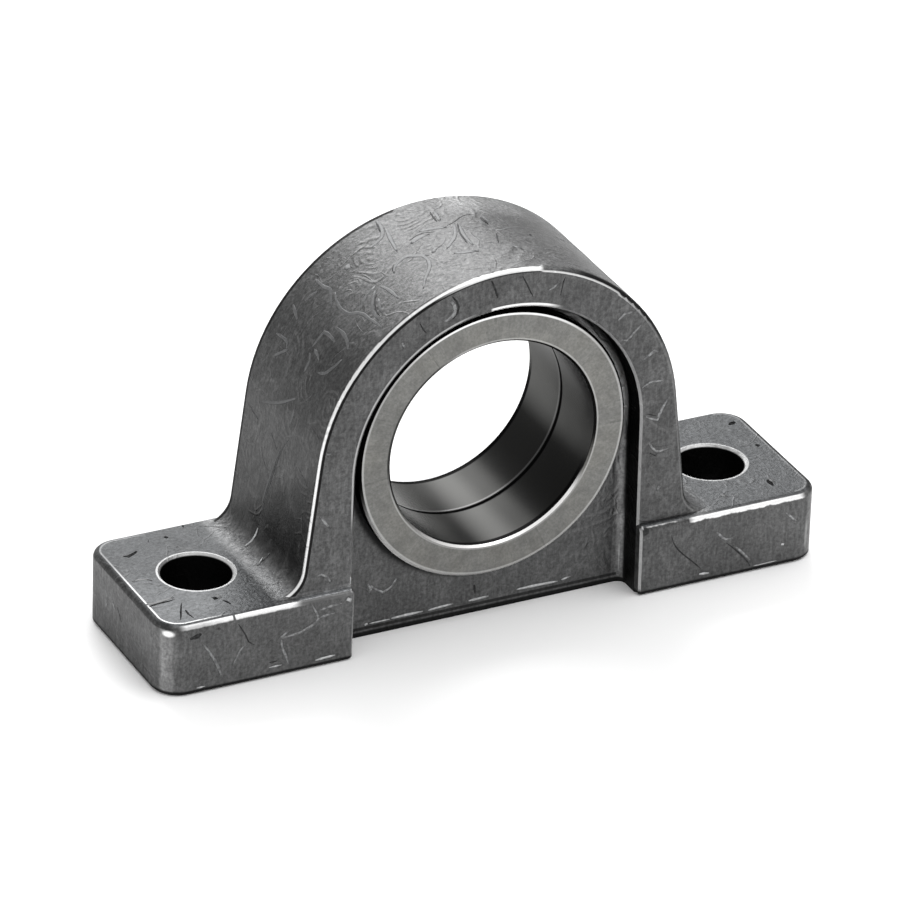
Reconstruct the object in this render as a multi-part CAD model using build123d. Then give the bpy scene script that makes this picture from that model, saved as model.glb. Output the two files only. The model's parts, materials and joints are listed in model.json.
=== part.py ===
from build123d import *
import os
from math import cos, radians, sin, tan

# Pillow block housing: one iron casting on two bolted feet, with a pair of
# flanged bushes pressed into its seat from the front and from the rear.
# Millimetres. The origin is the middle of the underside, +Z is up, X runs
# along the feet and Y along the bore. The front of the block looks to -Y.

# Bushes
bore_diameter = 60.0
bush_wall = 5.0
flange_width = 4.0          # how far the flange stands out from the barrel
flange_thickness = 4.0
face_chamfer = 0.6          # on both edges of the flange face
seam_chamfer = 0.4          # where the two barrels meet inside the bore

# Body round the bore
web_thickness = 31.0        # metal between the front and the rear pocket
web_below_flange = 13.5
pocket_gap = 2.8            # clearance round the flange
pocket_lean = 0.8           # degrees, draft of the pocket sides
pocket_floor_fillet = 2.5
pocket_edge_chamfer = 0.6
rim_wall = 11.2             # metal between the pocket and the outside
arch_depth = 46.6
arch_edge_rounding = 1.5
flank_lean = 7.0            # degrees, the flanks spread towards the feet
flank_fillet = 8.0

# Feet
foot_reach = 40.2           # from the flank to the end of the foot
foot_height = 21.0
base_depth = 51.0
foot_corner_radius = 7.5
foot_edge_rounding = 1.8
sole_edge_chamfer = 0.8
bolt_hole_diameter = 19.0
bolt_from_end = 21.0
bolt_hole_chamfer = 0.7

# Sizes that follow from the ones above
bore_radius = bore_diameter / 2
barrel_radius = bore_radius + bush_wall
flange_radius = barrel_radius + flange_width
bush_length = web_thickness / 2 + flange_thickness
pocket_floor = web_thickness / 2
pocket_radius = flange_radius + pocket_gap
arch_radius = pocket_radius + rim_wall
axis_height = flange_radius + web_below_flange
arch_front = arch_depth / 2
base_front = base_depth / 2
past = base_depth + arch_depth      # longer than any cut needs
spare = 1.0                         # how far a cutter stands out of the metal
touch = 0.001                       # closer than this counts as on the plane


def tangent_point(radius, lean):
    """Where a side that leans out by `lean` degrees leaves the arc."""
    return radius * cos(radians(lean)), axis_height + radius * sin(radians(lean))


def side_reach(radius, lean, height):
    """Half width of an arc with leaning sides, at a height below the arc."""
    x, z = tangent_point(radius, lean)
    return x + (z - height) * tan(radians(lean))


half_length = side_reach(arch_radius, flank_lean, foot_height) + foot_reach
bolt_x = half_length - bolt_from_end


def section_line(x1, z1, x2, z2):
    return Line((x1, 0, z1), (x2, 0, z2))


def section_arc(p1, p2, p3):
    return ThreePointArc(*[(x, 0, z) for x, z in (p1, p2, p3)])


def arch_profile():
    """Arch, leaning flanks and the hollow fillets that run out on the feet."""
    lean = radians(flank_lean)
    shoulder_x, shoulder_z = tangent_point(arch_radius, flank_lean)
    toe_x = side_reach(arch_radius, flank_lean, foot_height)
    centre_x = toe_x + flank_fillet * (1 - sin(lean)) / cos(lean)
    centre_z = foot_height + flank_fillet
    ankle_x = centre_x - flank_fillet * cos(lean)
    ankle_z = centre_z - flank_fillet * sin(lean)
    middle = radians(225 + flank_lean / 2)
    middle_x = centre_x + flank_fillet * cos(middle)
    middle_z = centre_z + flank_fillet * sin(middle)
    edges = [
        section_arc((shoulder_x, shoulder_z), (0, axis_height + arch_radius),
                    (-shoulder_x, shoulder_z)),
        section_line(-centre_x, 0, centre_x, 0),
    ]
    for side in (-1, 1):
        edges += [
            section_line(side * shoulder_x, shoulder_z, side * ankle_x, ankle_z),
            section_arc((side * ankle_x, ankle_z), (side * middle_x, middle_z),
                        (side * centre_x, foot_height)),
            section_line(side * centre_x, foot_height, side * centre_x, 0),
        ]
    return make_face(edges)


def pocket_profile():
    """Arc over the flange with sides that run down past the underside."""
    low = -foot_height
    top_x, top_z = tangent_point(pocket_radius, pocket_lean)
    low_x = side_reach(pocket_radius, pocket_lean, low)
    edges = [
        section_arc((top_x, top_z), (0, axis_height + pocket_radius), (-top_x, top_z)),
        section_line(-top_x, top_z, -low_x, low),
        section_line(-low_x, low, low_x, low),
        section_line(low_x, low, top_x, top_z),
    ]
    return make_face(edges)


def face_edges(solid, distance):
    """Edges that lie in the two planes at this distance in front and behind."""
    found = []
    for edge in solid.edges():
        box = edge.bounding_box()
        if box.max.Y - box.min.Y < touch and abs(abs(box.max.Y) - distance) < touch:
            found.append(edge)
    return found


def within_pocket(edge):
    """Whether an edge stays between the sides of the pocket."""
    box = edge.bounding_box()
    widest = side_reach(pocket_radius, pocket_lean, 0) + touch
    return max(abs(box.min.X), abs(box.max.X)) < widest


def pocket_cutter(side):
    """The U-shaped pocket; side is -1 for the front and 1 for the rear."""
    profile = Pos(0, side * pocket_floor, 0) * pocket_profile()
    cutter = extrude(profile, amount=past, dir=(0, side, 0))
    floor_edges = [e for e in face_edges(cutter, pocket_floor) if e.center().Z > 0]
    return fillet(floor_edges, pocket_floor_fillet)


def arch_body(pockets):
    body = extrude(arch_profile(), amount=arch_front, dir=(0, 1, 0), both=True)
    outer = [e for e in face_edges(body, arch_front) if e.center().Z > foot_height + touch]
    body = fillet(outer, arch_edge_rounding)
    for cutter in pockets:
        body -= cutter
    inner = [e for e in face_edges(body, arch_front) if within_pocket(e)
             and e.bounding_box().max.Z > foot_height]
    return chamfer(inner, pocket_edge_chamfer)


def foot_block(pockets):
    outline = RectangleRounded(2 * half_length, base_depth, foot_corner_radius)
    block = extrude(outline, amount=foot_height)
    block = fillet(block.faces().sort_by(Axis.Z)[-1].edges(), foot_edge_rounding)
    for cutter in pockets:
        block -= cutter
    mouth = [e for e in face_edges(block, base_front) if within_pocket(e)]
    block = chamfer(mouth, pocket_edge_chamfer)
    return chamfer(block.faces().sort_by(Axis.Z)[0].edges(), sole_edge_chamfer)


def drill(radius, height, lip):
    """A bolt hole through a foot, chamfered at its top, standing on z = 0."""
    up = (Align.CENTER, Align.CENTER, Align.MIN)
    hole = Cylinder(radius, height + 2 * spare, align=up)
    cone = Cone(radius, radius + 2 * lip, 2 * lip, align=up)
    return Pos(0, 0, -spare) * hole + Pos(0, 0, height - lip) * cone


def housing():
    pockets = [pocket_cutter(-1), pocket_cutter(1)]
    body = arch_body(pockets) + foot_block(pockets)
    seat = Rot(90, 0, 0) * Cylinder(barrel_radius, past)
    body -= Pos(0, 0, axis_height) * seat
    for side in (-1, 1):
        hole = drill(bolt_hole_diameter / 2, foot_height, bolt_hole_chamfer)
        body -= Pos(side * bolt_x, 0, 0) * hole
    return body


def bush(side):
    """One flanged bush, its inner end on the seam in the middle of the bore."""
    c = face_chamfer
    s = seam_chamfer
    points = [
        (bore_radius + s, 0),
        (barrel_radius, 0),
        (barrel_radius, pocket_floor),
        (flange_radius, pocket_floor),
        (flange_radius, bush_length - c),
        (flange_radius - c, bush_length),
        (bore_radius + c, bush_length),
        (bore_radius, bush_length - c),
        (bore_radius, s),
    ]
    outline = Polyline(*[(r, side * y, 0) for r, y in points], close=True)
    turned = revolve(make_face(outline), Axis.Y, 360)
    return Pos(0, 0, axis_height) * turned


parts = {
    "housing": housing(),
    "front_bush": bush(-1),
    "rear_bush": bush(1),
}

os.makedirs("parts", exist_ok=True)
for name, shape in parts.items():
    export_step(shape, f"parts/{name}.step")
    size = shape.bounding_box().size
    print(name, round(shape.volume), [round(v, 2) for v in size])
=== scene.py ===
import json
from math import cos, hypot, inf, pi, radians, sin, sqrt, tan

import bpy
import bmesh
from mathutils import Matrix, Vector


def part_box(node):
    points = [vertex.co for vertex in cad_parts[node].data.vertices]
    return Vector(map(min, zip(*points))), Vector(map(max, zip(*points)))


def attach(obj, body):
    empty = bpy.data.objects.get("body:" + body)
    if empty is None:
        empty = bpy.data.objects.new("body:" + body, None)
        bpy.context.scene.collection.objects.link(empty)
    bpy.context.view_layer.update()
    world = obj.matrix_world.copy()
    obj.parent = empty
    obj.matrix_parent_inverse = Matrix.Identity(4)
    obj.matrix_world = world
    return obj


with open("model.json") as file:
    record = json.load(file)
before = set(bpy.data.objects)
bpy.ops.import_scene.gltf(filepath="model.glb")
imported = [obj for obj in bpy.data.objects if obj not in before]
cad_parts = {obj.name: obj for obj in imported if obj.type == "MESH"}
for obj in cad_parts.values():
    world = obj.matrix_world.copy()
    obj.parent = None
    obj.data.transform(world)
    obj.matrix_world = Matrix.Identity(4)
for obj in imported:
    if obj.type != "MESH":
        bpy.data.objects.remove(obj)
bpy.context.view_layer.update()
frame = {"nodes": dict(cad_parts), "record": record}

MM = 0.001

# Sizes read from the frame, in millimetres
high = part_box("housing")[1]
half_length = high.x / MM
half_depth = high.y / MM
bush_low, bush_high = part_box("front_bush")
axis_height = (bush_low.z + bush_high.z) / 2 / MM
flange_radius = bush_high.x / MM
bush_half = -bush_low.y / MM
mounts = {mount["name"]: mount for mount in frame["record"]["mounts"]}
bolt_x = mounts["mounting_holes"]["dims"]["spacing_x_mm"] / 2
bolt_radius = mounts["mounting_holes"]["dims"]["hole_r_mm"]
bore_radius = mounts["shaft_bore"]["dims"]["r_mm"]

# Sizes of the casting that the marks on it line up with, in millimetres
foot_height = 21.0
foot_rounding = 1.8
arch_radius = 53.0
arch_front = 23.3
arch_rounding = 1.5
flank_lean = radians(7)
flank_fillet = 8.0
corner_radius = 7.5
pocket_floor = 15.5
pocket_radius = 41.8
pocket_reach = 42.4

# The middle of the hollow between a flank and its foot, from the bore's axis
toe = arch_radius * cos(flank_lean) + (axis_height + arch_radius * sin(flank_lean)
                                       - foot_height) * tan(flank_lean)
hollow_x = toe + flank_fillet * (1 - sin(flank_lean)) / cos(flank_lean)
hollow_z = foot_height + flank_fillet - axis_height
ankle_z = foot_height + flank_fillet - flank_fillet * sin(flank_lean)

# Marks on the arch: width, then points as degrees from straight up and y
arch_veins = [
    (0.5, [(-17.9, 21), (-18.1, 18.2), (-18.9, 15.1), (-20.3, 12.9), (-22.5, 11.7), (-24.6, 11.3),
           (-26.4, 12.3)]),
    (0.5, [(-17.6, 15.6), (-18.7, 11.3), (-19.7, 6.6), (-20.3, 3.6)]),
    (0.5, [(-42.5, 16.3), (-42.4, 11.5), (-41.6, 8.5), (-42.7, 6.6), (-44.9, 3.1)]),
    (0.5, [(-41.1, 6.2), (-42.4, 4.1), (-43.3, 0.5), (-43.4, -2.5), (-42.9, -4.6), (-41.3, -6.4),
           (-40.1, -9), (-39.8, -12.3), (-39.3, -15.8), (-39.2, -19)]),
    (0.45, [(-39.9, -7), (-38.1, -5.3), (-36, -4.3), (-33.4, -3.7), (-31.9, -3.3)]),
    (0.45, [(-31.1, -4.7), (-30.3, -7.5), (-30, -10.8), (-29.9, -14)]),
    (0.5, [(-33, -5), (-34.8, -6.7), (-36.9, -9.3), (-37.8, -12.1), (-38.2, -15.4)]),
    (0.45, [(-33.9, -8.6), (-35.2, -11), (-36.1, -14.2)]),
    (0.9, [(-33.1, 11.4), (-33.9, 10.1), (-34.7, 10)]),
    (0.5, [(-25.6, -3.9), (-24.4, -1.8), (-22.5, -0.8), (-20, -0.3), (-17.9, -1.3), (-15.8, -3),
           (-14.3, -4.4)]),
    (0.45, [(-49, 13.5), (-47.1, 13.2), (-44.8, 12.2)]),
    (0.5, [(-52.2, 16.9), (-53, 14.8), (-54.4, 11.7)]),
    (0.5, [(-56.8, -0.5), (-54.9, -0.8), (-52.7, -1), (-51.5, -1.2), (-51, -4.4), (-51.3, -7.6)]),
    (0.45, [(-57, -1.8), (-57.5, -4.4), (-58.4, -6.1)]),
    (0.45, [(-58.7, -0.8), (-60.4, -2.6), (-62.6, -2.6), (-64.1, -2.6)]),
    (0.5, [(-48.3, -3.7), (-47.9, -6.6), (-48, -9.2), (-48.8, -12), (-50.1, -14)]),
    (0.45, [(-53.4, -14.4), (-55.3, -13.8), (-57.9, -12.5), (-59.9, -11.1), (-61.2, -8.3)]),
    (0.4, [(-67.1, 13.2), (-64.9, 10.8), (-62.8, 8.5)]),
    (0.4, [(-61.7, 16.6), (-61.2, 12.9), (-61.3, 10.3), (-62.7, 9.3)]),
    (0.7, [(-15.7, 3.9), (-13.5, 4.8), (-11.2, 5.1), (-9.2, 4.8)]),
    (0.6, [(-11, 7.9), (-8.6, 7.2), (-6, 6.6), (-3.2, 5.7)]),
    (0.5, [(-2.2, 15.5), (-2.8, 12.2), (-3.4, 9.5)]),
    (0.5, [(-0.5, 6.8), (-2, 3.2), (-3.6, 0.3), (-5.9, -2), (-8.7, -4.5)]),
    (0.5, [(0.7, 5.6), (-0.6, 1.8), (-1.3, -2.2), (-1.4, -6.4)]),
    (0.5, [(-13.1, -4), (-11.3, -2.6), (-9.7, -2.4)]),
    (0.6, [(-8.2, -7.7), (-5.6, -8.9), (-3.6, -9.3), (-1.6, -10.1)]),
    (0.6, [(7.6, 6.8), (7.5, 4.7), (7.8, 2.8)]),
    (0.5, [(10, 9.9), (10.1, 7.7), (10, 5.1)]),
    (0.5, [(-20.3, -0.1), (-18.1, -1.6), (-15.8, -3.5), (-15.5, -5.6), (-16.3, -8.4),
           (-17.8, -10.5), (-20.6, -13.3), (-22.8, -16.5)]),
    (0.4, [(9.2, 0.9), (10.6, 0.1), (13.5, 1.3), (16.9, 2.5), (20.3, 3)]),
    (0.5, [(9.5, -9.2), (10.6, -10.6), (11.5, -12.1)]),
    (0.5, [(-74.7, -4.6), (-77.2, -4.5), (-80.4, -4)]),
    (0.4, [(-81.4, 12.7), (-78.5, 6.2), (-75.4, 1.1), (-71.6, -4.1)]),
    (0.4, [(-88.6, -1.3), (-92.8, 0.3), (-97.2, 1.7), (-101.3, 2.8), (-104.8, 3.8), (-108.9, 4.6)]),
]
arch_cracks = [
    (0.4, [(-18.3, 20.3), (-19, 17.3), (-19.6, 15.1)]),
    (0.35, [(-32.8, -6.1), (-34.8, -8), (-36.6, -11.2), (-37.2, -14.5)]),
    (0.35, [(-25.5, -2.7), (-23.8, -0.4)]),
    (0.7, [(-57.6, 0.4), (-57.6, -1.4)]),
    (0.35, [(-15.2, 5.6), (-13.1, 6.3), (-10.5, 6.4), (-7.5, 5.1)]),
    (0.45, [(-3.5, 15.4), (-4.1, 12.1), (-4.3, 9.7)]),
    (0.35, [(-2.8, 6.4), (-0.1, 7.4), (2.7, 9.3), (5.5, 10.4), (7.6, 10.1)]),
    (0.45, [(0.4, 6.4), (-1, 2.7), (-2, -1.2), (-2.4, -4.9)]),
    (0.8, [(8.7, 8.2), (8.8, 6), (8.9, 3.8)]),
    (0.4, [(8.4, -1.9), (6.9, -5.3), (6.1, -7.3)]),
    (1.0, [(19.9, -0.8), (19.9, -1.8)]),
    (0.5, [(-85.7, 19), (-86.7, 16.4), (-87.3, 13.3)]),
    (0.5, [(-87.2, 5.3), (-88.8, 2.9), (-90.4, 0.8)]),
    (0.5, [(-75.2, -14.7), (-75.5, -17.7), (-75.9, -20.2)]),
    (0.45, [(-89, -12.2), (-91.8, -18.6)]),
    (0.35, [(-93.9, 9), (-96.2, 7.9), (-98.5, 4.3)]),
    (0.6, [(-84.5, -4.8), (-87.9, -2.5), (-92.1, -0.9), (-96.6, 0.6), (-100.8, 1.7), (-104.4, 3),
           (-108.4, 3.5), (-111.4, 4.2), (-113.4, 4.6)]),
    (0.6, [(-115.5, -4.9), (-116.4, -4.7), (-116.7, -4.5), (-116.8, -3.8)]),
]
hollow_beads = [
    (0.8, [(-114, 4.7), (-115.3, 4.6), (-116.2, 4.7), (-116.7, 5), (-116.7, 5.5)]),
    (0.8, [(-116.7, -5.4), (-116.8, -4.8), (-116.5, -3.6)]),
]

# Marks on the rim round the pocket: width, then points as x and z
rim_veins = [
    (0.75, [(-15.9, 99.9), (-14.9, 98.6), (-14.6, 97.2), (-14.9, 95.9), (-16.2, 94.9), (-17.6, 94.3)]),
    (0.4, [(12.4, 97.3), (14, 98), (15.6, 99.3)]),
    (0.5, [(-29.7, 90.6), (-28.9, 89.1)]),
    (0.5, [(33.6, 84.3), (35.5, 85.9), (37.8, 85.9)]),
    (0.45, [(40.5, 81.5), (38.6, 79.9), (36.4, 77.8), (34.8, 78.3)]),
    (0.6, [(41.9, 71), (43.5, 72.1), (44.9, 73), (45.9, 72.5)]),
    (0.4, [(41.7, 62.4), (43.9, 63.7), (47.7, 63.5)]),
    (0.6, [(49.5, 57.4), (48.6, 56.1), (47.3, 53.5), (46.8, 51.9), (45.1, 52.5), (43.3, 53.5)]),
    (0.5, [(44.6, 45.4), (45.8, 43.4), (47.9, 42.1), (50.7, 42.7)]),
    (0.7, [(48.5, 31.5), (47.7, 30.2)]),
    (0.5, [(-50.6, 62.1), (-49.3, 62)]),
    (0.5, [(-52, 43.9), (-50.7, 42.1), (-49.1, 40.1)]),
    (0.45, [(-53, 26.1), (-51.2, 26.6), (-49.4, 25.3), (-48.3, 23.2)]),
]
rim_cracks = [
    (0.8, [(-4.3, 103.6), (-3.1, 100.7), (-2.3, 98.2)]),
    (0.55, [(4.7, 103.2), (5.9, 100.9), (7.1, 98.3), (8.1, 96.4)]),
    (0.8, [(-15.6, 101.3), (-14.3, 99.6), (-13.6, 97.9), (-13.9, 96), (-15.2, 94.6)]),
    (0.5, [(17.3, 100.3), (16.8, 99.1), (16.4, 96.8), (16.1, 95.3)]),
    (0.5, [(-24.7, 95.2), (-23.7, 93.3), (-22.7, 92)]),
    (0.4, [(43.5, 54.3), (46.2, 53.2)]),
    (0.5, [(45, 42.2), (46.8, 40.9)]),
]

# Marks on the fronts of the feet: width, then points as x and z
front_veins = [
    (0.5, [(-86, 14.6), (-84.3, 12), (-82.7, 9.2), (-81.1, 5.5), (-80.4, 3.2)]),
    (0.35, [(-77.5, 5.9), (-75.3, 10.3), (-73.7, 12)]),
    (0.45, [(-64, 11.3), (-61.5, 13)]),
    (0.5, [(-64, 11.3), (-58.3, 11.8), (-53.9, 13.6), (-52.8, 14.9), (-54.7, 19.3)]),
    (0.5, [(-52.8, 17.2), (-48.9, 17.8), (-46.1, 17.9)]),
    (0.5, [(-52.4, 15.1), (-48, 15.5)]),
    (0.45, [(-63.4, 10.9), (-63.2, 8.4), (-62.1, 5.7), (-61.2, 3)]),
    (0.5, [(65.6, 14.6), (68.3, 11.9), (70.5, 11.9)]),
    (0.45, [(71.6, 8.8), (73.9, 6.5), (76.2, 3.8)]),
    (0.5, [(86.6, 16.1), (88.2, 14.5), (89.8, 12.9)]),
]
front_cracks = [
    (0.5, [(-76, 18.4), (-73.8, 14.5), (-72.9, 12.3), (-71.3, 11.1)]),
    (0.5, [(-66.8, 4.7), (-64.5, 4.7)]),
    (0.5, [(51.7, 16.9), (52.3, 14.5), (54.3, 11.4), (58.6, 7.1), (61.3, 4.3)]),
    (0.5, [(68.6, 10.7), (71.2, 8.3), (73.6, 5.7), (75.6, 3.2), (76.3, 1.9)]),
    (1.6, [(-89.8, 17), (-87.6, 17.4), (-86.6, 17.9)]),
]
front_beads = [
    (0.5, [(-87.7, 1.8), (-85.3, 1.8)]),
    (0.5, [(-66.8, 3.2), (-63.2, 3.2)]),
    (0.7, [(-53.5, 2.3), (-50.5, 2.5), (-47.7, 2.6)]),
    (0.7, [(60.7, 2.9), (63.6, 2.6)]),
    (0.9, [(85.6, 6.6), (86.4, 6.4)]),
    (0.3, [(77.4, 1.7), (84.4, 1.8)]),
    (1.5, [(-44.6, 18.9), (-43.4, 18.2)]),
]

# Marks on the tops of the feet: width, then points as x and y
top_veins = [
    (0.5, [(-95.9, -10.9), (-93.5, -11), (-90.8, -10.6), (-88.7, -10.2), (-87.5, -10.4)]),
    (0.6, [(-76.7, -13.4), (-76.5, -15.4)]),
    (0.4, [(-94.3, 1.5), (-92.2, 1.9), (-90.5, 1.5), (-89.2, 0)]),
    (0.5, [(86.9, -14), (87.2, -17.5)]),
    (0.8, [(70.8, -17.2), (71.6, -19.3)]),
]
top_cracks = [
    (1.0, [(-90.8, 14.9), (-89.7, 14.3), (-88, 15), (-86.4, 16)]),
    (1.3, [(-81.5, 19.8), (-81.3, 19.7)]),
    (1.3, [(-76.6, 19.6), (-75.8, 20.1)]),
    (1.2, [(-69.8, 23.6), (-69.4, 23.5)]),
    (0.6, [(-95.5, -12.2), (-93.2, -11.7), (-91.2, -11.5), (-90, -11.6), (-87.9, -11.3)]),
    (1.4, [(-78, -14.1), (-77.7, -15.5)]),
    (0.6, [(-76.5, -16.7), (-75.8, -17.6), (-75.4, -19.2)]),
    (0.4, [(-87, -13.8), (-88.6, -16.9), (-90.8, -21.7)]),
    (0.5, [(-87.5, -17.4), (-87.7, -19.9), (-87.3, -21.9)]),
    (1.2, [(93.7, 17.6), (92.6, 17.2), (91.4, 16.6)]),
    (1.2, [(92.9, 3.9), (93.1, 2.6)]),
    (1.1, [(86.2, -14.9), (86.1, -16.5), (86.1, -18.5)]),
]

# Marks on the left end: width, then points as y and z
end_veins = [
    (0.4, [(7.2, 13.3), (5, 11.4)]),
    (0.4, [(10.8, 11.8), (10.7, 9.1)]),
]
end_cracks = [
    (0.45, [(3.6, 12.9), (2.1, 11.3), (1, 9.8)]),
]

# Marks on the floor of the pocket: width, then points as x and z
web_veins = [
    (0.5, [(-33.2, 15.4), (-31, 13.4), (-29.3, 12.3), (-26.7, 13.5), (-25.1, 16)]),
    (0.6, [(-33.7, 15.7), (-32.8, 14), (-33.5, 12.6)]),
]
web_cracks = [
    (0.8, [(-2.1, 8.4), (-1.7, 5.7)]),
]
web_beads = [
    (1.0, [(-34.3, 3.4), (-33.4, 3.6)]),
    (0.45, [(-32.9, 3.5), (-29.9, 3.5), (-26.9, 3.5)]),
    (0.8, [(-26.4, 3.6), (-22.1, 3.7), (-17.1, 3.7)]),
    (0.7, [(-15.6, 3.6), (-11.7, 3.9), (-8.2, 4)]),
    (0.8, [(-3.6, 3.8), (-0.8, 3.9), (2.3, 4)]),
    (0.8, [(10.8, 4.1), (16.7, 4.1), (23.1, 3.9)]),
    (0.6, [(24.2, 4.1), (26.8, 4.6)]),
]

# How finely a mark is divided along its length, in millimetres
mark_spacing = 1.5


class Finish:
    """A material under construction, with one short call for each node."""

    def __init__(self, name):
        self.material = bpy.data.materials.new(name)
        self.material.use_nodes = True
        self.tree = self.material.node_tree
        self.shader = self.tree.nodes["Principled BSDF"]
        coordinates = self.tree.nodes.new("ShaderNodeTexCoord")
        self.normal = coordinates.outputs["Normal"]
        self.point = self.scale(coordinates.outputs["Object"], 1 / MM)

    def put(self, socket, value):
        if isinstance(value, bpy.types.NodeSocket):
            self.tree.links.new(value, socket)
        elif value is not None:
            socket.default_value = value

    def math(self, operation, a, b=None, c=None):
        node = self.tree.nodes.new("ShaderNodeMath")
        node.operation = operation
        for socket, value in zip(node.inputs, (a, b, c)):
            self.put(socket, value)
        return node.outputs[0]

    def vector(self, operation, a, b=None):
        node = self.tree.nodes.new("ShaderNodeVectorMath")
        node.operation = operation
        self.put(node.inputs[0], a)
        self.put(node.inputs[1], b)
        return node.outputs["Value" if operation in ("LENGTH", "DISTANCE") else "Vector"]

    def scale(self, vector, factor):
        node = self.tree.nodes.new("ShaderNodeVectorMath")
        node.operation = "SCALE"
        self.put(node.inputs[0], vector)
        self.put(node.inputs["Scale"], factor)
        return node.outputs["Vector"]

    def split(self, vector):
        node = self.tree.nodes.new("ShaderNodeSeparateXYZ")
        self.put(node.inputs[0], vector)
        return node.outputs

    def join(self, x=0.0, y=0.0, z=0.0):
        node = self.tree.nodes.new("ShaderNodeCombineXYZ")
        for socket, value in zip(node.inputs, (x, y, z)):
            self.put(socket, value)
        return node.outputs[0]

    def noise(self, vector, scale, detail=2.0, roughness=0.5, distortion=0.0, color=False):
        node = self.tree.nodes.new("ShaderNodeTexNoise")
        self.put(node.inputs["Vector"], vector)
        node.inputs["Scale"].default_value = scale
        node.inputs["Detail"].default_value = detail
        node.inputs["Roughness"].default_value = roughness
        node.inputs["Distortion"].default_value = distortion
        return node.outputs["Color" if color else "Fac"]

    def voronoi(self, vector, scale, feature="F1"):
        node = self.tree.nodes.new("ShaderNodeTexVoronoi")
        node.feature = feature
        self.put(node.inputs["Vector"], vector)
        node.inputs["Scale"].default_value = scale
        return node.outputs

    def step(self, value, start, end, low_value=0.0, high_value=1.0):
        node = self.tree.nodes.new("ShaderNodeMapRange")
        node.interpolation_type = "SMOOTHSTEP"
        for socket, item in zip(node.inputs, (value, start, end, low_value, high_value)):
            self.put(socket, item)
        return node.outputs[0]

    def mix(self, factor, a, b):
        node = self.tree.nodes.new("ShaderNodeMix")
        node.data_type = "RGBA"
        self.put(node.inputs["Factor"], factor)
        for name, value in (("A", a), ("B", b)):
            socket = [s for s in node.inputs if s.name == name and s.type == "RGBA"][0]
            self.put(socket, value)
        return [s for s in node.outputs if s.type == "RGBA"][0]

    def bump(self, height, distance, normal=None):
        node = self.tree.nodes.new("ShaderNodeBump")
        self.put(node.inputs["Height"], height)
        node.inputs["Distance"].default_value = distance
        self.put(node.inputs["Normal"], normal)
        return node.outputs[0]

    def product(self, *factors):
        value = factors[0]
        for factor in factors[1:]:
            value = self.math("MULTIPLY", value, factor)
        return value

    def most(self, *values):
        value = values[0]
        for other in values[1:]:
            value = self.math("MAXIMUM", value, other)
        return value

    def minus(self, a, b):
        return self.math("SUBTRACT", a, b)

    def plus(self, a, b):
        return self.math("ADD", a, b)

    def rest(self, value):
        return self.math("SUBTRACT", 1.0, value)

    def size(self, value):
        return self.math("ABSOLUTE", value)

    def over(self, value, limit):
        return self.math("GREATER_THAN", value, limit)

    def under(self, value, limit):
        return self.math("LESS_THAN", value, limit)

    def near(self, value, middle, far, close):
        """1 where the value is within `close` of the middle, and 0 from `far` on."""
        return self.step(self.size(self.minus(value, middle)), far, close)

    def between(self, value, start, full, last_full, end):
        """1 from `full` to `last_full`, and 0 before the start and past the end."""
        return self.product(self.step(value, start, full), self.step(value, end, last_full))

    def stronger(self, colour, share):
        """The colour with a share of itself added, or taken away below 0."""
        return self.scale(colour, self.plus(1.0, share))

    def facing(self):
        """How squarely the metal faces the front or the rear, from 0 to 1."""
        return self.size(self.split(self.normal)["Y"])

    def from_axis(self, x, z):
        """The height above the bore's axis, and the distance from it."""
        up = self.minus(z, axis_height)
        return up, self.vector("LENGTH", self.join(x, up))

    def apply(self, base, roughness, metallic, tint, relief):
        for name, value in (("Base Color", base), ("Roughness", roughness), ("Metallic", metallic),
                            ("Specular Tint", grey(tint)), ("Normal", relief)):
            self.put(self.shader.inputs[name], value)
        return self.material


def grey(level, warmth=0.0):
    """A linear grey; warmth above 0 leans to yellow, below 0 to blue."""
    return (level * (1 + warmth), level, level * (1 - warmth), 1.0)


# Colours for wear with painted highlights, and for painted shade
bare_metal_and_highlight = grey(0.92)
shade_black = grey(0.004)


def level_lines(finish, field, count, width):
    """Thin lines along the level curves of a field."""
    wave = finish.math("FRACT", finish.product(field, count))
    return finish.near(wave, 0.5, width, 0.0)


def swirls(finish):
    """Faint nested curls in the skin of the casting."""
    field = finish.noise(finish.point, 0.038, 0.5, 0.4, 0.6)
    lines = level_lines(finish, field, 9.0, 0.36)
    patch = finish.step(finish.noise(finish.point, 0.05, 1.0), 0.42, 0.56)
    return finish.product(lines, patch)


def nests(finish, shifted):
    """Rings nested round scattered centres, broken into arcs."""
    warp = finish.scale(finish.noise(shifted, 0.07, 1.0, color=True), 9.0)
    cells = finish.voronoi(finish.vector("ADD", finish.point, warp), 0.075)
    kept = finish.step(finish.split(cells["Color"])["X"], 0.35, 0.4)
    rings = level_lines(finish, cells["Distance"], 6.5, 0.4)
    broken = finish.step(finish.noise(shifted, 0.13, 1.0), 0.45, 0.58)
    return finish.product(rings, kept, broken)


def strokes(finish, shifted):
    """Single short curved strokes between the curls."""
    field = finish.noise(shifted, 0.03, 0.5, 0.4, 1.4)
    lines = level_lines(finish, field, 7.0, 0.08)
    patch = finish.step(finish.noise(shifted, 0.09, 1.0), 0.53, 0.6)
    return finish.product(lines, patch)


def hairlines(finish, shifted):
    """Angular hairlines where the skin has crazed."""
    warp = finish.scale(finish.noise(finish.point, 0.08, 1.0, color=True), 14.0)
    cells = finish.voronoi(finish.vector("ADD", finish.point, warp), 0.07, "DISTANCE_TO_EDGE")
    lines = finish.step(cells["Distance"], 0.03, 0.0)
    patch = finish.step(finish.noise(shifted, 0.12, 0.0), 0.5, 0.58)
    return finish.product(lines, patch)


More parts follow.
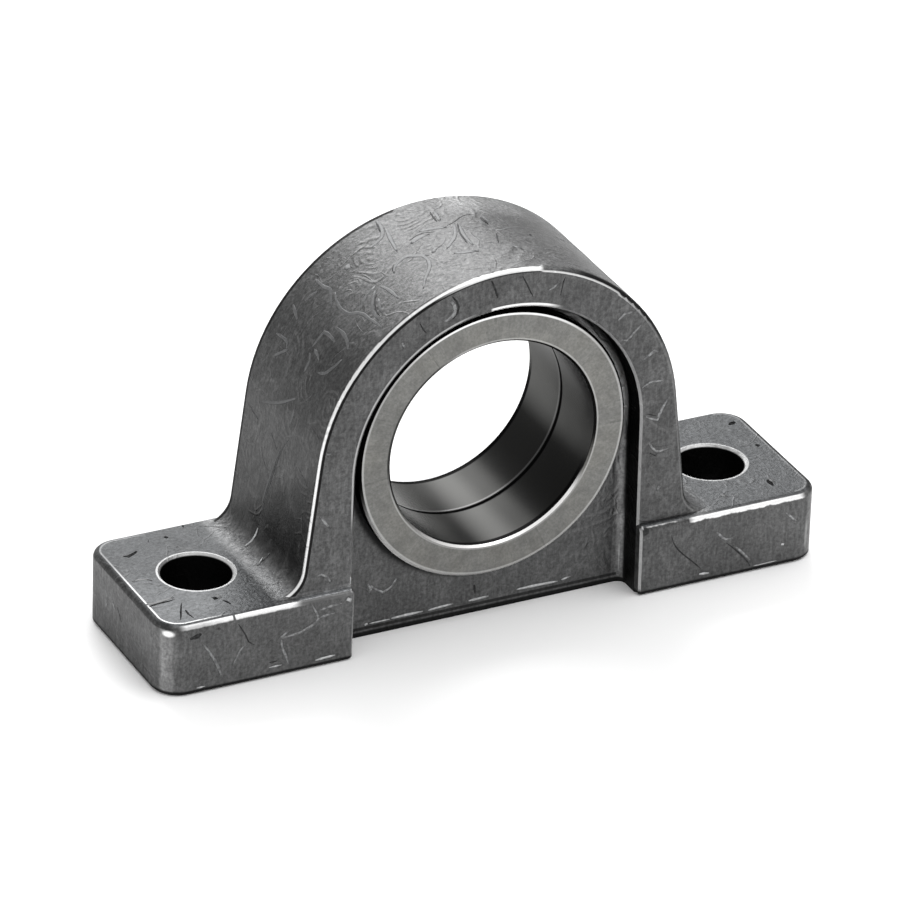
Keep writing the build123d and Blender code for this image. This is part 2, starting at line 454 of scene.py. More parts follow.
def pits(finish):
    """Small round pits, in a few of the cells."""
    cells = finish.voronoi(finish.point, 0.16)
    kept = finish.step(finish.split(cells["Color"])["X"], 0.9, 0.93)
    return finish.product(finish.step(cells["Distance"], 0.11, 0.05), kept)


def photographed_x(finish, x, y):
    """x on the photographed side; the far side is that side turned half round."""
    return finish.product(x, finish.math("SIGN", finish.product(y, -1.0)))


def arch_edges(finish, x, y, z):
    """The rounded edges of the arch: where they are rubbed and carry a painted highlight, and where
    painted shade lines them.
    """
    facing = finish.facing()
    up, out = finish.from_axis(x, z)
    # Radians from straight up, where the crown's wear and painted highlight take over and then the right
    # edge's
    crown_start, crown_full = -0.42, -0.15
    right_start, right_full = 0.19, 0.22
    round_arch = finish.math("ARCTAN2", photographed_x(finish, x, y), up)
    ragged = finish.noise(finish.point, 0.5, 3.0, 0.6)
    right = finish.step(round_arch, right_start, right_full)
    crown = finish.product(finish.step(round_arch, crown_start, crown_full), finish.rest(right))
    left = finish.minus(finish.rest(right), crown)
    reach = finish.plus(finish.plus(arch_rounding - 0.3, finish.product(right, 0.9)),
                        finish.product(crown, finish.math("MULTIPLY_ADD", ragged, 0.7, -0.45)))
    depth = finish.minus(arch_front, finish.size(y))
    band = finish.product(finish.step(depth, finish.plus(reach, 0.2), finish.minus(reach, 0.2)),
                          finish.step(facing, 0.992, 0.975),
                          finish.over(z, foot_height + 0.6),
                          finish.over(out, arch_radius - arch_rounding - 0.15))
    outer_part = finish.step(facing, 0.82, 0.7)
    inner_part = finish.step(facing, 0.82, 0.92)
    under_crown = finish.product(crown, finish.step(facing, 0.9, 0.95))
    fading = finish.step(round_arch, 0.35, 1.1, 0.7, 0.06)
    bright = finish.product(left, outer_part, finish.step(facing, 0.25, 0.5, 0.0, 0.85))
    bright = finish.plus(finish.plus(bright, finish.product(finish.minus(crown, under_crown), 0.9)),
                         finish.product(right, inner_part, fading))
    dark_left = finish.product(left, finish.most(finish.rest(outer_part),
                                                 finish.step(facing, 0.35, 0.2, 0.0, 0.8)))
    dark_right = finish.product(finish.step(round_arch, 0.3, 0.5), finish.rest(inner_part),
                                finish.step(round_arch, 1.18, 1.05, 0.1, 1.0))
    dark = finish.plus(finish.plus(dark_left, dark_right), finish.product(under_crown, 0.8))
    # Painted shade darkens the rear edge on the left half of the arch
    rear = finish.product(finish.over(y, 0.0), finish.step(x, 8.0, -8.0))
    bright = finish.product(bright, finish.rest(rear))
    return finish.product(band, bright), finish.product(band, finish.most(dark, rear))


def foot_edges(finish, x, y, z):
    """The rubbed front edges of the feet with a painted highlight, ragged below, and painted shade on
    the edges of the ends.
    """
    facing = finish.facing()
    across = photographed_x(finish, x, y)
    ragged = finish.noise(finish.join(x, finish.product(y, 0.3), 0.0), 0.3, 5.0, 0.7)
    drop = finish.minus(foot_height, z)
    past_x = finish.minus(finish.size(x), half_length - corner_radius)
    past_y = finish.minus(finish.size(y), half_depth - corner_radius)
    corner = finish.join(finish.most(past_x, 0.0), finish.most(past_y, 0.0), 0.0)
    short = finish.math("MINIMUM", finish.most(past_x, past_y), 0.0)
    inward = finish.minus(corner_radius, finish.plus(finish.vector("LENGTH", corner), short))
    ledge_end, band_break = 57.0, -77.0
    right = finish.over(across, 0.0)
    ledge = finish.product(right, finish.under(across, ledge_end))
    reach = finish.plus(finish.product(ragged, finish.plus(0.8, finish.product(right, 0.6))),
                        finish.plus(foot_rounding - 1.0, finish.product(ledge, -1.0)))
    on_left = finish.product(finish.step(across, -ledge_end, -ledge_end - 4.0, 0.12, 1.0),
                             finish.step(across, -86.0, -78.0, 0.6, 1.0),
                             finish.rest(finish.near(across, band_break, 0.5, 0.2)))
    on_right = finish.most(finish.step(across, ledge_end - 1.0, ledge_end + 2.0),
                           finish.step(across, ledge_end - 3.0, ledge_end - 5.0, 0.0, 0.85))
    share = finish.plus(finish.product(right, on_right), finish.product(finish.rest(right), on_left))
    visible_back = finish.most(finish.under(y, 0.0), finish.step(facing, 0.5, 0.8))
    band = finish.product(finish.step(drop, finish.plus(reach, 0.25), finish.minus(reach, 0.25)),
                          finish.step(finish.plus(inward, finish.product(right, 0.3)), 1.1, 0.75),
                          finish.over(z, foot_height - 6.0),
                          finish.over(finish.size(x), pocket_reach - 0.5),
                          finish.step(past_x, 3.0, 0.5), share, visible_back)
    # A painted highlight on the left corner, broader than it is high
    spot_x, spot_y, spot_z = -95.2, 23.4, 18.6
    scale_x, scale_z = 0.8, 1.7
    place = finish.join(finish.product(across, scale_x), finish.size(y), finish.product(z, scale_z))
    spot = finish.vector("DISTANCE", place, (spot_x * scale_x, spot_y, spot_z * scale_z))
    band = finish.most(band, finish.product(finish.step(spot, 2.0, 0.8), 0.8))
    # A black nick where the right foot meets the pocket
    nick_x, nick_z = 43.7, 19.6
    nick = finish.vector("DISTANCE", finish.join(across, 0.0, z), (nick_x, 0.0, nick_z))
    nick = finish.step(nick, 1.3, 0.9)
    band = finish.product(band, finish.rest(nick))
    # Painted highlights: pale lines along the top edges of the ends and up the right corner
    top_line = foot_rounding + 0.1
    line = finish.product(finish.near(inward, top_line, 0.34, 0.12),
                          finish.over(z, foot_height - 0.3), finish.under(x, 0.0),
                          finish.step(past_x, -14.0, -2.0), finish.step(y, 22.0, -12.0, 0.25, 1.0),
                          finish.step(ragged, 0.3, 0.45, 0.5, 1.0))
    faint = finish.product(finish.near(inward, top_line, 0.4, 0.2), finish.over(z, foot_height - 0.3),
                           finish.over(past_x, 0.0), finish.over(x, 0.0), 0.2)
    upright = finish.product(finish.near(facing, 0.87, 0.05, 0.02), right,
                             finish.between(z, 2.5, 5.0, 9.0, 14.0), 0.35)
    # Painted shade on the rounded top edges of the ends
    dark = finish.product(finish.step(inward, foot_rounding - 0.1, foot_rounding - 0.3),
                          finish.step(drop, 1.5, 1.2), finish.step(past_x, 3.5, 5.0))
    return band, finish.most(line, faint, upright), finish.most(dark, nick)


def pocket_lines(finish, x, y, z):
    """Painted shade round the flange and on the pocket's sides, and painted highlights on the edge of
    its mouth.
    """
    facing = finish.facing()
    depth = finish.size(y)
    up, out = finish.from_axis(x, z)
    in_arch = finish.product(finish.under(out, arch_radius - 8.0), finish.over(z, axis_height - 1.0))
    below_arch = finish.product(finish.under(finish.size(x), pocket_reach + 0.9),
                                finish.under(z, axis_height + 1.0))
    within = finish.most(in_arch, below_arch)
    at_flange = finish.product(finish.step(out, flange_radius + 2.7, flange_radius + 0.8),
                               finish.under(depth, pocket_floor + 1.0))
    wall = finish.product(finish.step(facing, 0.75, 0.4), finish.over(depth, pocket_floor + 0.4),
                          finish.under(depth, arch_front - 0.65))
    # Radians from straight up, over the pocket's arch and down its sides
    round_pocket = finish.math("ARCTAN2", photographed_x(finish, x, y), up)
    near_top = finish.between(round_pocket, -0.1, -0.08, 0.28, 0.42)
    shut = finish.between(round_pocket, -1.95, -1.75, -0.35, -0.15)
    at_edge = finish.product(finish.over(depth, arch_front - 0.75), finish.over(facing, 0.4))
    chamfer = finish.product(at_edge, finish.step(facing, 0.9, 0.8))
    rim = finish.minus(at_edge, chamfer)
    # Painted highlights on the mouth's chamfer and along the rim's edge
    mouth = finish.product(chamfer, finish.over(z, 2.0), finish.rest(shut),
                           finish.plus(0.22, finish.product(near_top, 0.6)))
    pocket_side = finish.most(finish.size(x), finish.product(out, finish.over(z, axis_height)))
    from_mouth = finish.minus(pocket_side, pocket_radius + 0.6)
    rim_edge = finish.product(rim, shut, finish.near(from_mouth, 0.4, 0.35, 0.15), 0.3)
    top_edge = finish.product(rim, near_top, finish.near(from_mouth, 0.25, 0.4, 0.25), 0.8)
    under_beads = finish.product(finish.under(depth, pocket_floor + 0.1), finish.near(z, 2.4, 0.6, 0.3))
    # Painted shade round the flange, on the pocket's walls, under the beads and in the shut part of the
    # mouth
    pocket_shade = finish.product(within, finish.most(at_flange, wall, finish.product(under_beads, 0.8),
                                              finish.product(chamfer, shut)))
    # Light that is caught between the flange and the right side of the pocket
    widening, wide = 0.9, 1.35
    fillet_side = finish.step(round_pocket, widening, wide, 0.7, 0.4)
    streak_reach = finish.step(round_pocket, widening, wide, flange_radius + 1.2, flange_radius + 2.6)
    streak = finish.product(within, finish.step(facing, fillet_side, finish.plus(fillet_side, 0.2)),
                            finish.under(depth, pocket_floor + 2.4),
                            finish.step(out, finish.plus(streak_reach, 0.4), streak_reach),
                            finish.between(round_pocket, 0.4, 0.8, 1.5, 1.75))
    pocket_shade = finish.product(pocket_shade, finish.rest(streak))
    caught = finish.product(streak, finish.step(round_pocket, 1.15, 1.45, 0.12, 0.4))
    bright = finish.most(finish.product(within, mouth), rim_edge, top_edge, caught)
    return pocket_shade, bright


def hollow_band(finish, x, z):
    """The paler, streaked band in the hollow between a flank and its foot: a painted highlight."""
    shape = finish.product(finish.between(finish.size(x), hollow_x - 7.5, hollow_x - 3.5,
                                          hollow_x - 2.5, hollow_x + 1.5),
                           finish.over(z, foot_height - 0.6))
    streaks = finish.noise(finish.vector("MULTIPLY", finish.point, (0.25, 1.0, 0.25)), 1.2, 3.0, 0.6)
    return finish.product(shape, finish.step(streaks, 0.25, 0.75, 0.35, 1.0))


def bolt_hole(finish, x, y, z):
    """A painted highlight on the lip of each bolt hole, and painted shade in the hole itself."""
    middle = finish.join(finish.minus(finish.size(x), bolt_x), y, 0.0)
    away = finish.vector("LENGTH", middle)
    lip = finish.product(
        finish.between(away, bolt_radius - 0.3, bolt_radius, bolt_radius + 0.6, bolt_radius + 0.9),
        finish.step(z, foot_height - 1.0, foot_height - 0.7))
    collar = finish.product(finish.near(away, bolt_radius + 0.95, 0.35, 0.15),
                            finish.over(z, foot_height - 0.2), 0.55)
    inside = finish.step(away, bolt_radius + 0.3, bolt_radius)
    return finish.most(lip, collar), inside


def cast_iron():
    """Dark cast iron: a curled and crazed skin and wear, with painted light and shade: dull foot tops,
    dark sides, painted shade in the pocket, on edges and along the sole, and painted highlights on
    edges.
    """
    finish = Finish("cast_iron_dark")
    x, y, z = finish.split(finish.point)
    nx, ny, nz = finish.split(finish.normal)
    endwise = finish.size(nx)
    facing = finish.size(ny)
    depth = finish.size(y)
    on_foot = finish.under(z, foot_height)
    shifted = finish.vector("ADD", finish.point, (40.0, 15.0, 60.0))
    # Wear with painted highlights, and painted shade, on the edges of the arch and the feet, in the
    # pocket and at the bolt holes
    rubbed, arch_edge_shade = arch_edges(finish, x, y, z)
    foot_wear_and_highlight, end_highlight, end_shade = foot_edges(finish, x, y, z)
    pocket_shade, mouth = pocket_lines(finish, x, y, z)
    lip, hole_shade = bolt_hole(finish, x, y, z)
    foot_top = finish.product(finish.step(nz, 0.6, 0.95), finish.step(z, 30.0, 24.0))
    curls = finish.most(swirls(finish), strokes(finish, shifted), nests(finish, shifted))
    curls = finish.product(curls, finish.rest(finish.product(foot_top, 0.75)))
    crazed = hairlines(finish, shifted)
    pitted = pits(finish)
    grain = finish.noise(finish.point, 1.6, 3.0, 0.6)
    sand = finish.noise(finish.point, 1.1, 4.0, 0.7)
    drawn = finish.noise(finish.vector("MULTIPLY", finish.point, (1.1, 1.1, 0.22)), 1.0, 3.0, 0.6)
    mottle = finish.noise(finish.point, 0.05, 4.0, 0.6)

    base = finish.mix(finish.step(mottle, 0.3, 0.7), grey(0.068, -0.002), grey(0.087, -0.004))
    # Painted light and shade: the tops of the feet are dull, the sides of the arch the darkest, most of
    # all low down at the front, paler to the rear and halfway up, and the left of the front lighter
    left_tone = finish.mix(finish.step(y, 12.0, -18.0), grey(0.035, -0.03), grey(0.052, -0.03))
    foot_tone = finish.mix(finish.step(x, -10.0, 10.0), left_tone, grey(0.047, -0.03))
    base = finish.mix(foot_top, base, foot_tone)
    side = finish.product(finish.step(endwise, 0.55, 0.9),
                          finish.step(z, foot_height, foot_height + 4.0))
    base = finish.mix(finish.product(side, 0.78), base, grey(0.016))
    rearward = finish.product(y, finish.math("SIGN", finish.product(x, -1.0)))
    slope = finish.plus(z, finish.product(rearward, 0.7))
    base = finish.mix(finish.product(side, finish.step(slope, 46.0, 36.0), 0.6), base, grey(0.01))
    halfway = finish.between(z, 38.0, 50.0, 60.0, 66.0)
    paler = finish.plus(finish.product(finish.step(rearward, -1.0, 6.0), 0.2),
                        finish.product(halfway, 0.3))
    base = finish.stronger(base, finish.product(side, paler))
    across = photographed_x(finish, x, y)
    left_front = finish.product(finish.between(across, -88.0, -64.0, -43.0, -38.0),
                                finish.step(facing, 0.9, 0.98), finish.step(z, 66.0, 54.0))
    base = finish.stronger(base, finish.product(left_front, 0.2))
    # Painted light and shade make the ledge below the left of the arch hardly show: lighter above its
    # line, darker on the rounding below
    ledge_line = foot_height - 0.25
    ledge = finish.product(finish.between(across, -61.0, -55.0, -43.0, -41.5),
                           finish.over(depth, arch_front - 0.3))
    above = finish.plus(finish.step(z, foot_height + 1.5, foot_height + 0.7, 0.0, 0.6),
                        finish.step(z, foot_height + 0.5, foot_height, 0.0, 2.2))
    above = finish.product(above, finish.over(z, ledge_line))
    below = finish.product(finish.under(z, ledge_line),
                           finish.step(z, foot_height - 1.4, foot_height - 0.8, 0.0, -0.75))
    base = finish.stronger(base, finish.product(ledge, finish.plus(above, below)))
    # A painted highlight on the rear right of the crown
    crown_rear = finish.product(finish.between(x, -2.0, 8.0, 20.0, 28.0), finish.step(y, 8.0, 18.0),
                                finish.over(z, 90.0))
    base = finish.stronger(base, crown_rear)
    # Painted highlights on the fillets: at the floor of the pocket, and between the flanks and the feet
    fillet = finish.product(finish.near(finish.size(x), pocket_radius - 1.6, 1.5, 0.7),
                            finish.under(depth, pocket_floor + 1.2),
                            finish.step(z, axis_height, axis_height - 16.0))
    base = finish.mix(finish.product(fillet, 0.35), base, grey(0.3))
    base = finish.mix(finish.product(hollow_band(finish, x, z), 0.5), base, grey(0.16))
    # The ends darken downwards, and the corners of the feet get a painted highlight
    end = finish.product(finish.step(endwise, 0.8, 0.95), on_foot)
    base = finish.scale(base, finish.rest(finish.product(end, finish.step(z, 4.0, 14.0, 0.38, 0.12))))
    corner = finish.step(finish.product(endwise, facing, 2.0), 0.75, 0.98)
    base = finish.mix(finish.product(corner, on_foot, 0.25), base, grey(0.3))
    # Painted light: faces that do not face the front or the rear are made lighter
    base = finish.scale(base, finish.step(facing, 0.5, 0.85, 1.55, 1.0))
    # The skin of the casting, then painted shade, then wear with painted highlights
    for mask, share, tone in ((curls, 0.12, 0.2), (crazed, 0.12, 0.18), (pitted, 0.55, 0.02)):
        base = finish.mix(finish.product(mask, share), base, grey(tone))
    base = finish.scale(base, finish.step(sand, 0.25, 0.75, 0.62, 1.42))
    base = finish.scale(base, finish.step(drawn, 0.25, 0.75, 0.78, 1.2))
    # Painted shade on the arch's edges, in the pocket and on the ends' edges, and a painted contact
    # shadow along the sole
    dark = finish.most(arch_edge_shade, pocket_shade, finish.product(end_shade, 0.65), finish.step(z, 1.7, 1.1))
    base = finish.mix(finish.product(dark, 0.94), base, shade_black)
    wear_and_highlight = finish.most(rubbed, foot_wear_and_highlight, finish.product(end_highlight, 0.4), finish.product(lip, 0.5), mouth)
    base = finish.mix(wear_and_highlight, base, bare_metal_and_highlight)
    # Painted shade inside the bolt holes
    base = finish.mix(hole_shade, base, grey(0.006))
    rough = finish.step(mottle, 0.3, 0.7, 0.38, 0.46)
    rough = finish.plus(rough, finish.step(sand, 0.3, 0.7, -0.04, 0.04))
    height = finish.plus(curls, finish.product(crazed, 0.6))
    height = finish.minus(height, finish.product(pitted, 1.5))
    relief = finish.bump(height, 0.09 * MM)
    relief = finish.bump(sand, 0.12 * MM, relief)
    relief = finish.bump(grain, 0.03 * MM, relief)
    return finish.apply(base, rough, metallic=0.8, tint=0.5, relief=relief)


def mark_iron(name, dull, bright, metallic, roughness, on_crown=1.0, on_flank=1.0):
    """The iron of a mark, mottled between two tones; both are painted lighter or darker by height, as
    light falls on the arch.
    """
    finish = Finish(name)
    z = finish.split(finish.point)["Z"]
    mottle = finish.noise(finish.point, 0.9, 3.0, 0.6)
    base = finish.mix(finish.step(mottle, 0.35, 0.65), grey(dull, -0.01), grey(bright, -0.01))
    base = finish.scale(base, finish.step(z, 78.0, 98.0, 1.0, on_crown))
    low_down = finish.between(z, foot_height + 0.5, foot_height + 2.0, 58.0, 74.0)
    base = finish.stronger(base, finish.product(low_down, on_flank - 1.0))
    rough = finish.step(mottle, 0.3, 0.7, roughness - 0.05, roughness + 0.05)
    grain = finish.bump(finish.noise(finish.point, 3.0, 2.0, 0.6), 0.03 * MM)
    return finish.apply(base, rough, metallic, tint=0.4, relief=grain)


def bush_steel():
    """Brushed steel: a bore with painted light and shade and a seam, and a turned flange with painted
    highlights and shade on its edges.
    """
    finish = Finish("bush_steel_brushed")
    x, y, z = finish.split(finish.point)
    depth = finish.size(y)
    up, out = finish.from_axis(x, z)
    around = finish.join(finish.math("DIVIDE", x, out), finish.math("DIVIDE", up, out))
    around = finish.scale(around, 90.0)
    outward = finish.join(0.0, 0.0, finish.product(out, 0.08))
    streaks = finish.noise(finish.vector("ADD", around, outward), 1.0, 3.0, 0.6)
    mottle = finish.noise(finish.point, 0.07, 3.0, 0.6)
    lathe = finish.noise(finish.join(finish.product(out, 3.0)), 1.0, 2.0, 0.6)
    honing = finish.noise(finish.join(finish.product(y, 2.5)), 1.0, 2.0, 0.6)

    # The running surface carries painted light and shade: darkest on the lower right and to the front,
    # lighter to the rear, with a painted gleam near the bottom
    inside = finish.step(out, bore_radius + 0.25, bore_radius + 0.05)
    from_bottom = finish.math("ARCTAN2", x, finish.product(up, -1.0))
    upper = finish.step(from_bottom, 0.95, 1.5)
    at_front = finish.product(finish.step(from_bottom, -0.5, -0.1, 0.14, 0.026),
                              finish.step(from_bottom, 0.1, 0.8, 1.0, 0.4))
    at_front = finish.most(at_front, finish.product(upper, 0.032))
    at_rear = finish.product(finish.step(from_bottom, -0.4, -0.05, 0.2, 0.028),
                             finish.step(from_bottom, 0.35, 0.8, 1.2, 0.6))
    at_rear = finish.most(at_rear, finish.product(upper, 0.08))
    shade_wobble = finish.noise(finish.vector("MULTIPLY", finish.point, (1.0, 0.5, 1.0)), 0.06, 2.0, 0.5)
    rearward = finish.step(finish.plus(y, finish.step(shade_wobble, 0.3, 0.7, -6.0, 6.0)), -20.0, 18.0)
    shade = finish.math("MULTIPLY_ADD", finish.minus(at_rear, at_front), rearward, at_front)
    gleam = finish.product(finish.step(from_bottom, -0.13, 0.15, 0.62, 1.5),
                           finish.step(from_bottom, 0.17, 0.36, 1.0, 0.62))
    bore_tone = finish.scale((1.0, 1.0, 0.97), finish.product(shade, gleam))

    # The face of the flange is turned, with faint patches and a few nicks
    patches = finish.noise(finish.point, 0.2, 4.0, 0.65)
    fine = finish.noise(finish.point, 1.3, 3.0, 0.7)
    nicks = finish.product(finish.step(finish.noise(finish.scale(around, 0.35), 1.0, 1.0), 0.66, 0.7),
                           finish.step(patches, 0.5, 0.6))
    warm_low, warm_high = (0.134, 0.134, 0.129, 1.0), (0.158, 0.157, 0.15, 1.0)
    base = finish.mix(finish.step(streaks, 0.3, 0.7), warm_low, warm_high)
    base = finish.mix(finish.step(mottle, 0.35, 0.7, 0.0, 0.4), base, (0.18, 0.176, 0.16, 1.0))
    base = finish.scale(base, finish.step(patches, 0.3, 0.7, 0.86, 1.1))
    base = finish.scale(base, finish.step(fine, 0.3, 0.7, 0.86, 1.12))
    base = finish.scale(base, finish.rest(finish.product(nicks, 0.25)))
    base = finish.mix(inside, base, bore_tone)

    # A black seam between the bushes, with light on its rear edge
    black = grey(0.001)
    in_bore = finish.under(out, bore_radius + 0.9)
    seam = finish.product(in_bore, finish.step(depth, 0.85, 0.6))
    seam_shine = finish.product(in_bore, finish.near(y, 1.15, 0.45, 0.2),
                                finish.step(from_bottom, 0.1, -0.7, 0.15, 0.6))
    base = finish.mix(seam_shine, base, grey(0.3))
    base = finish.mix(seam, base, black)

    # Painted highlights on the edges of the flange, and painted shade: a dark line just inside the bore,
    # darker behind the face, on the shaded bevel, by the left of the face and on the flange's side
    turned = finish.math("ARCTAN2", photographed_x(finish, x, y), finish.product(up, -1.0))
    facing = finish.facing()
    on_flange = finish.over(depth, pocket_floor)
    lip = finish.product(inside, finish.step(depth, bush_half - 2.3, bush_half - 1.9),
                         finish.between(turned, -1.7, -1.4, 1.0, 1.3))
    base = finish.mix(lip, base, black)
    behind_face = finish.product(inside, finish.step(depth, 10.0, 17.0),
                                 finish.between(turned, 1.3, 1.75, 2.6, 2.9), 0.75)
    base = finish.mix(behind_face, base, grey(0.006))
    bevel = finish.product(finish.between(facing, 0.4, 0.55, 0.8, 0.88), on_flange)
    bright_arc = finish.between(turned, -1.2, -0.3, 0.85, 1.15)
    at_bore = finish.under(out, bore_radius + 1.5)
    from_low = finish.size(turned)
    shaded = finish.step(from_low, 1.1, 1.5)
    bright = finish.plus(finish.product(at_bore, bright_arc),
                         finish.product(finish.rest(at_bore), finish.rest(shaded), 0.6))
    base = finish.mix(finish.product(bevel, bright), base, grey(0.9, 0.01))
    base = finish.mix(finish.product(bevel, shaded), base, shade_black)
    outer_line = finish.product(finish.near(out, flange_radius - 0.9, 0.45, 0.15),
                                finish.step(from_low, 2.2, 2.9, 0.2, 0.75))
    left_side = finish.between(turned, -2.8, -2.5, -1.6, -1.2)
    inner_line = finish.product(finish.near(out, bore_radius + 0.85, 0.3, 0.15),
                                finish.rest(left_side), 0.16)
    on_face = finish.over(facing, 0.95)
    base = finish.mix(finish.product(finish.most(outer_line, inner_line), on_face), base, grey(0.9))
    left_shade_line = finish.product(finish.step(out, bore_radius + 1.2, bore_radius + 0.9),
                               left_side, on_face)
    base = finish.mix(finish.product(left_shade_line, 0.85), base, grey(0.01))
    # Painted shade on the side of the flange, in the gap to the pocket
    flange_side = finish.product(finish.over(out, flange_radius - 0.1), finish.under(facing, 0.4))
    base = finish.mix(flange_side, base, grey(0.002))
    bore_roughness = 0.27
    rough = finish.step(streaks, 0.3, 0.7, 0.34, 0.42)
    rough = finish.math("MULTIPLY_ADD", finish.minus(bore_roughness, rough), inside, rough)
    face_height = finish.plus(streaks, finish.product(lathe, 0.4))
    relief = finish.bump(finish.product(face_height, finish.rest(inside)), 0.012 * MM)
    relief = finish.bump(finish.product(honing, inside), 0.002 * MM, relief)
    return finish.apply(base, rough, metallic=0.95, tint=0.5, relief=relief)


def dress(node, material):
    """Put a finish in every material slot of a CAD node."""
    slots = frame["nodes"][node].data.materials
    for index in range(len(slots)):
        slots[index] = material


def on_arch(angle, y):
    """A place on the outside of the arch, a flank or its hollow, and the way out of the metal."""
    turn = radians(abs(angle))
    side = 1 if angle > 0 else -1
    ray = Vector((sin(turn), cos(turn)))
    out = ray
    reach = arch_radius
    if turn > pi / 2 - flank_lean:
        out = Vector((cos(flank_lean), sin(flank_lean)))
        reach = arch_radius / sin(turn + flank_lean)
    if axis_height + reach * ray.y < ankle_z:
        hollow = Vector((hollow_x, hollow_z))
        along = ray.dot(hollow)
        reach = along - sqrt(max(0.0, along ** 2 - hollow.length_squared + flank_fillet ** 2))
        out = (hollow - reach * ray).normalized()
    place = Vector((side * reach * ray.x, y, axis_height + reach * ray.y))
    return place, Vector((side * out.x, 0, out.y))


def on_rim(x, z):
    return Vector((x, -arch_front, z)), Vector((0, -1, 0))


def on_web(x, z):
    return Vector((x, -pocket_floor, z)), Vector((0, -1, 0))


def on_foot_front(x, z):
    return Vector((x, -half_depth, z)), Vector((0, -1, 0))


def on_foot_top(x, y):
    return Vector((x, y, foot_height)), Vector((0, 0, 1))


def on_end(y, z):
    return Vector((-half_length, y, z)), Vector((-1, 0, 0))


# How far out a mark has to start, in degrees on the arch, to be turned to the far side as well
turned_from = {on_arch: 38.0, on_foot_top: inf}


def smooth_path(points):
    """A smooth line through the points of a mark, finely divided."""
    held = [points[0]] + points + [points[-1]]
    path = []
    for before, start, end, after in zip(held, held[1:], held[2:], held[3:]):
        steps = max(1, round(hypot(end[0] - start[0], end[1] - start[1]) / mark_spacing))
        for index in range(steps):
            t = index / steps
            path.append([((2 * b) + (c - a) * t + (2 * a - 5 * b + 4 * c - d) * t ** 2
                          + (3 * b - a - 3 * c + d) * t ** 3) / 2
                         for a, b, c, d in zip(before, start, end, after)])
    path.append(points[-1])
    return path


def as_mesh(form, name):
    mesh = bpy.data.meshes.new(name)
    form.to_mesh(mesh)
    form.free()
    return mesh


def add(name, data):
    """A new object in the scene."""
    thing = bpy.data.objects.new(name, data)
    bpy.context.scene.collection.objects.link(thing)
    return thing


def bead(surface, points, width, height):
    """A closed bead along a mark, its lower half sunk in the metal, as a mesh."""
    form = bmesh.new()
    places = [surface(*point) for point in smooth_path(points)]
    last = len(places) - 1
    previous = None
    for index, (place, out) in enumerate(places):
        ahead = (places[min(index + 1, last)][0] - places[max(index - 1, 0)][0]).normalized()
        across = out.cross(ahead).normalized()
        taper = 0.15 + 0.85 * sin(pi * (index + 0.2) / (last + 0.4)) ** 0.6
        swell = taper * (1 + 0.12 * sin(2.3 * index))
        section = Matrix((across * width / 2 * swell, out * height * swell, ahead)).transposed()
        turn = Matrix.Translation(place) @ section.to_4x4()
        made = bmesh.ops.create_circle(form, cap_ends=index in (0, last), segments=8, radius=1.0,
                                       matrix=turn)
        ring = list({edge for vertex in made["verts"] for edge in vertex.link_edges})
        if previous:
            bmesh.ops.bridge_loops(form, edges=previous + ring)
        previous = ring
    bmesh.ops.recalc_face_normals(form, faces=form.faces)
    bmesh.ops.scale(form, vec=(MM, MM, MM), verts=form.verts)
    return as_mesh(form, "bead")


def mark_piece(name, material, broadness, height, families):
    """One piece of many beads, on the photographed side and turned to the far side."""
    form = bmesh.new()
    half_turn = Matrix.Rotation(pi, 4, "Z")
    for surface, marks in families:
        for width, points in marks:
            mesh = bead(surface, points, width * broadness, height)
            form.from_mesh(mesh)
            if abs(points[0][0]) >= turned_from.get(surface, 0.0):
                mesh.transform(half_turn)
                form.from_mesh(mesh)
            bpy.data.meshes.remove(mesh)
    mesh = as_mesh(form, name)
    for polygon in mesh.polygons:
        polygon.use_smooth = True
    mesh.materials.append(material)
    piece = add(name, mesh)
    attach(piece, "root")


def camera():
    """The photograph's view, from the front left and above."""
    azimuth, elevation, roll = radians(-27.215), radians(28.571), radians(2.004)
    distance = 2.0
    target = Vector((-2.733 * MM, 0.0, 41.617 * MM))
    focal_pixels, frame_pixels, sensor_width = 7530.4, 900.0, 36.0
    back = Vector((sin(azimuth) * cos(elevation), -cos(azimuth) * cos(elevation), sin(elevation)))
    right = Vector((cos(azimuth), sin(azimuth), 0.0))
    up = back.cross(right)
    turned_right = cos(roll) * right + sin(roll) * up
    turned_up = cos(roll) * up - sin(roll) * right
    data = bpy.data.cameras.new("camera")
    data.sensor_width = sensor_width
    data.lens = focal_pixels / frame_pixels * sensor_width
    data.clip_end = 20.0
    view = add("camera", data)
    turn = Matrix((turned_right, turned_up, back)).transposed().to_4x4()
    view.matrix_world = Matrix.Translation(target + distance * back) @ turn
    bpy.context.scene.camera = view


def floor():
    """A plain floor that is white to the camera and keeps the block's soft shadow."""
    form = bmesh.new()
    bmesh.ops.create_grid(form, x_segments=1, y_segments=1, size=6.0)
    mesh = as_mesh(form, "floor")
    ground = add("floor", mesh)
    finish = Finish("floor_white")
    path = finish.tree.nodes.new("ShaderNodeLightPath").outputs
    tone, camera_gain, glossy_gain = 0.8, 0.2, 0.45
    shade = finish.math("MULTIPLY_ADD", path["Is Camera Ray"], camera_gain, tone)
    shade = finish.math("MULTIPLY_ADD", path["Is Glossy Ray"], glossy_gain, shade)
    for name, value in (("Base Color", shade), ("Roughness", 0.9), ("Specular IOR Level", 0.0)):
        finish.put(finish.shader.inputs[name], value)
    mesh.materials.append(finish.material)


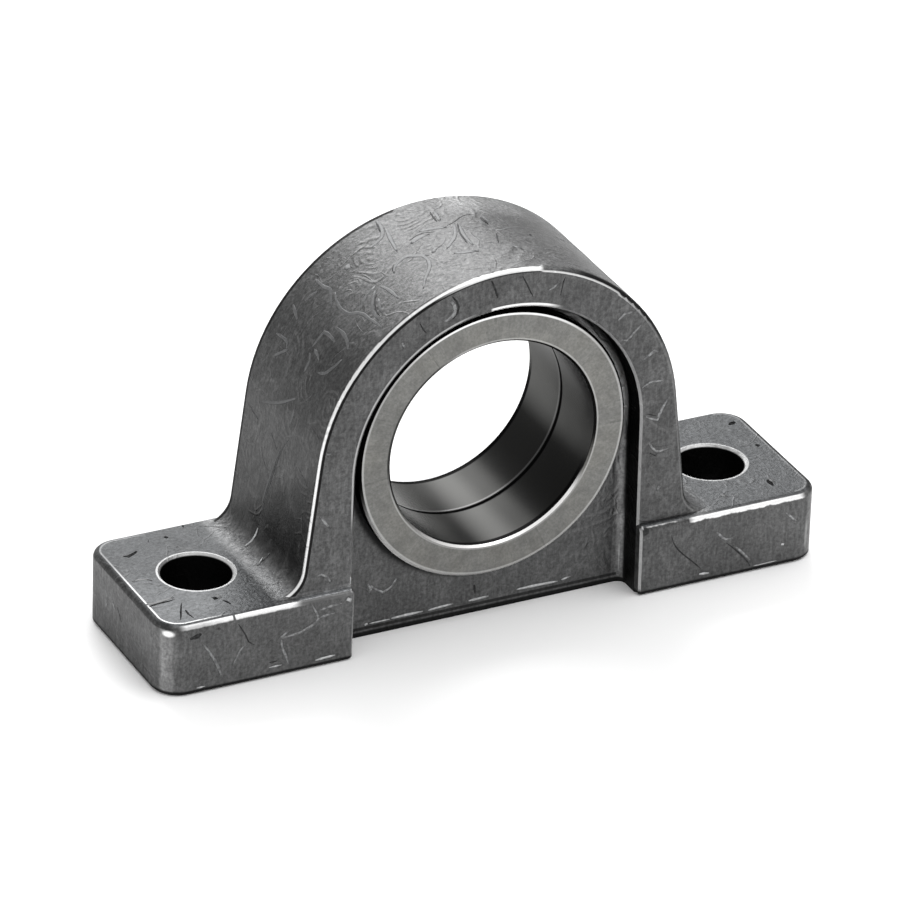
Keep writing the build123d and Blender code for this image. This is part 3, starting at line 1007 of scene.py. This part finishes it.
def sky():
    """A dim grey studio round the softboxes."""
    world = bpy.data.worlds.new("studio")
    bpy.context.scene.world = world
    world.use_nodes = True
    background = world.node_tree.nodes["Background"]
    background.inputs["Color"].default_value = grey(1.0)
    background.inputs["Strength"].default_value = 0.85


def lights():
    """A softbox behind the block and a weaker one over it, both aimed at its middle."""
    middle = Vector((0, 0, 0.04))
    for name, place, side, power in (("behind", (0.2, 1.0, 0.6), 0.8, 12.0),
                                     ("overhead", (0.35, -0.25, 1.2), 0.9, 5.5)):
        data = bpy.data.lights.new(name, "AREA")
        data.shape = "RECTANGLE"
        data.size = side
        data.size_y = side
        data.energy = power
        turn = (middle - Vector(place)).to_track_quat("-Z", "Y").to_matrix().to_4x4()
        add(name, data).matrix_world = Matrix.Translation(place) @ turn


dress("housing", cast_iron())
bush_finish = bush_steel()
for bush in ("front_bush", "rear_bush"):
    dress(bush, bush_finish)

# Each piece of marks: its iron as mark_iron takes it, the beads' broadness and height, the beads
mark_pieces = [
    ("casting_veins", ("vein_iron", 0.1, 0.135, 0.8, 0.44, 1.3, 0.75), 2.2, 0.04,
     [(on_arch, arch_veins), (on_foot_top, top_veins)]),
    ("face_veins", ("pale_vein_iron", 0.11, 0.27, 0.8, 0.42), 1.6, 0.12,
     [(on_rim, rim_veins), (on_foot_front, front_veins), (on_end, end_veins), (on_web, web_veins)]),
    ("faint_cracks", ("faint_crack_iron", 0.04, 0.075, 0.8, 0.46), 1.2, 0.03,
     [(on_arch, arch_cracks)]),
    ("face_cracks", ("crack_dark", 0.02, 0.045, 0.9, 0.5), 0.85, 0.04,
     [(on_rim, rim_cracks), (on_foot_front, front_cracks), (on_end, end_cracks),
      (on_web, web_cracks)]),
    ("top_cracks", ("crack_black", 0.01, 0.026, 0.95, 0.5), 1.25, 0.04,
     [(on_foot_top, top_cracks)]),
    ("rubbed_beads", ("rubbed_iron", 0.35, 0.55, 0.7, 0.4), 1.0, 0.16,
     [(on_arch, hollow_beads), (on_foot_front, front_beads), (on_web, web_beads)]),
]
for name, iron, broadness, height, families in mark_pieces:
    mark_piece(name, mark_iron(*iron), broadness, height, families)

camera()
floor()
sky()
lights()

bpy.context.scene.view_settings.view_transform = "Standard"
